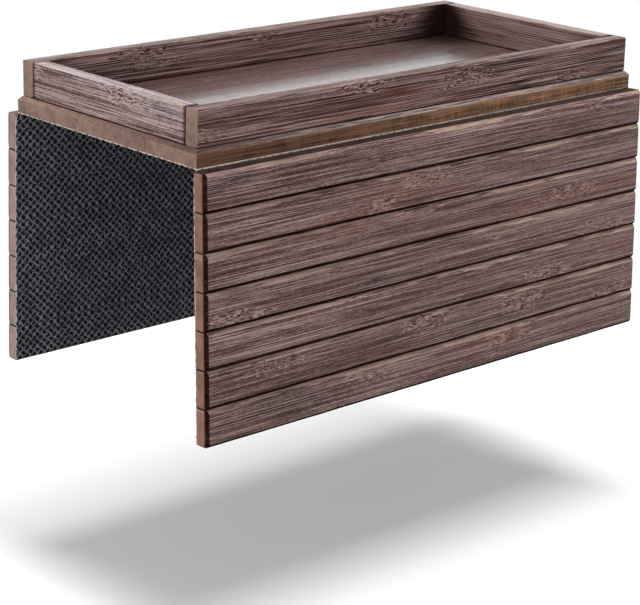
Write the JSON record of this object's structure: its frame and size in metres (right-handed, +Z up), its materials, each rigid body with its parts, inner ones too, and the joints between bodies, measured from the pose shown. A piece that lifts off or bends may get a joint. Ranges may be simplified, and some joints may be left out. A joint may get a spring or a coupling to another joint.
{
  "type": "sofa arm tray",
  "caption": "Shallow wooden tray for a sofa arm, with a roll-up row of bevelled slats on a cloth backing hanging from each long side.",
  "frame": {"origin": "centre of the face that rests on the sofa arm, the underside of the backing cloth under the panel", "axes": "+X along the slats and the length of the tray, +Y across the arm towards the back row of slats, +Z up"},
  "size_m": [0.322, 0.1762, 0.1694],
  "materials": {
    "panel_bamboo": "satin lacquered carbonised bamboo",
    "rail_bamboo": "satin lacquered carbonised bamboo",
    "slat_bamboo": "satin lacquered carbonised bamboo",
    "backing_cloth": "embossed non-woven cloth",
    "screw_steel": "plain"
  },
  "bodies": {
    "tray": {"base_panel": "panel_bamboo", "rail_front": "rail_bamboo", "rail_back": "rail_bamboo", "rail_left": "rail_bamboo", "rail_right": "rail_bamboo", "rail_screws": "screw_steel", "backing_centre": "backing_cloth"},
    "front_row_1": {"front_slat_1": "slat_bamboo", "front_backing_1": "backing_cloth"},
    "front_row_2": {"front_slat_2": "slat_bamboo", "front_backing_2": "backing_cloth"},
    "front_row_3": {"front_slat_3": "slat_bamboo", "front_backing_3": "backing_cloth"},
    "front_row_4": {"front_slat_4": "slat_bamboo", "front_backing_4": "backing_cloth"},
    "front_row_5": {"front_slat_5": "slat_bamboo", "front_backing_5": "backing_cloth"},
    "front_row_6": {"front_slat_6": "slat_bamboo", "front_backing_6": "backing_cloth"},
    "front_row_7": {"front_slat_7": "slat_bamboo", "front_backing_7": "backing_cloth"},
    "back_row_1": {"back_slat_1": "slat_bamboo", "back_backing_1": "backing_cloth"},
    "back_row_2": {"back_slat_2": "slat_bamboo", "back_backing_2": "backing_cloth"},
    "back_row_3": {"back_slat_3": "slat_bamboo", "back_backing_3": "backing_cloth"},
    "back_row_4": {"back_slat_4": "slat_bamboo", "back_backing_4": "backing_cloth"},
    "back_row_5": {"back_slat_5": "slat_bamboo", "back_backing_5": "backing_cloth"},
    "back_row_6": {"back_slat_6": "slat_bamboo", "back_backing_6": "backing_cloth"},
    "back_row_7": {"back_slat_7": "slat_bamboo", "back_backing_7": "backing_cloth"}
  },
  "joints": [
    {"name": "front_fold_1", "type": "hinge", "parent": "tray", "child": "front_row_1", "pos_m": [0, -0.0755, 0], "axis": [-1, 0, 0], "range_deg": [-89.5, 88.5]},
    {"name": "front_fold_2", "type": "hinge", "parent": "front_row_1", "child": "front_row_2", "pos_m": [0, -0.07604, -0.02059], "axis": [1, 0, 0], "range_deg": [0, 45]},
    {"name": "front_fold_3", "type": "hinge", "parent": "front_row_2", "child": "front_row_3", "pos_m": [0, -0.07656, -0.04059], "axis": [1, 0, 0], "range_deg": [0, 45]},
    {"name": "front_fold_4", "type": "hinge", "parent": "front_row_3", "child": "front_row_4", "pos_m": [0, -0.07709, -0.06058], "axis": [1, 0, 0], "range_deg": [0, 45]},
    {"name": "front_fold_5", "type": "hinge", "parent": "front_row_4", "child": "front_row_5", "pos_m": [0, -0.07761, -0.08057], "axis": [1, 0, 0], "range_deg": [0, 45]},
    {"name": "front_fold_6", "type": "hinge", "parent": "front_row_5", "child": "front_row_6", "pos_m": [0, -0.07813, -0.10057], "axis": [1, 0, 0], "range_deg": [0, 45]},
    {"name": "front_fold_7", "type": "hinge", "parent": "front_row_6", "child": "front_row_7", "pos_m": [0, -0.07866, -0.12056], "axis": [1, 0, 0], "range_deg": [0, 45]},
    {"name": "back_fold_1", "type": "hinge", "parent": "tray", "child": "back_row_1", "pos_m": [0, 0.0755, 0], "axis": [-1, 0, 0], "range_deg": [-88.5, 89.5]},
    {"name": "back_fold_2", "type": "hinge", "parent": "back_row_1", "child": "back_row_2", "pos_m": [0, 0.07604, -0.02059], "axis": [1, 0, 0], "range_deg": [-45, 0]},
    {"name": "back_fold_3", "type": "hinge", "parent": "back_row_2", "child": "back_row_3", "pos_m": [0, 0.07656, -0.04059], "axis": [1, 0, 0], "range_deg": [-45, 0]},
    {"name": "back_fold_4", "type": "hinge", "parent": "back_row_3", "child": "back_row_4", "pos_m": [0, 0.07709, -0.06058], "axis": [1, 0, 0], "range_deg": [-45, 0]},
    {"name": "back_fold_5", "type": "hinge", "parent": "back_row_4", "child": "back_row_5", "pos_m": [0, 0.07761, -0.08057], "axis": [1, 0, 0], "range_deg": [-45, 0]},
    {"name": "back_fold_6", "type": "hinge", "parent": "back_row_5", "child": "back_row_6", "pos_m": [0, 0.07813, -0.10057], "axis": [1, 0, 0], "range_deg": [-45, 0]},
    {"name": "back_fold_7", "type": "hinge", "parent": "back_row_6", "child": "back_row_7", "pos_m": [0, 0.07866, -0.12056], "axis": [1, 0, 0], "range_deg": [-45, 0]}
  ]
}
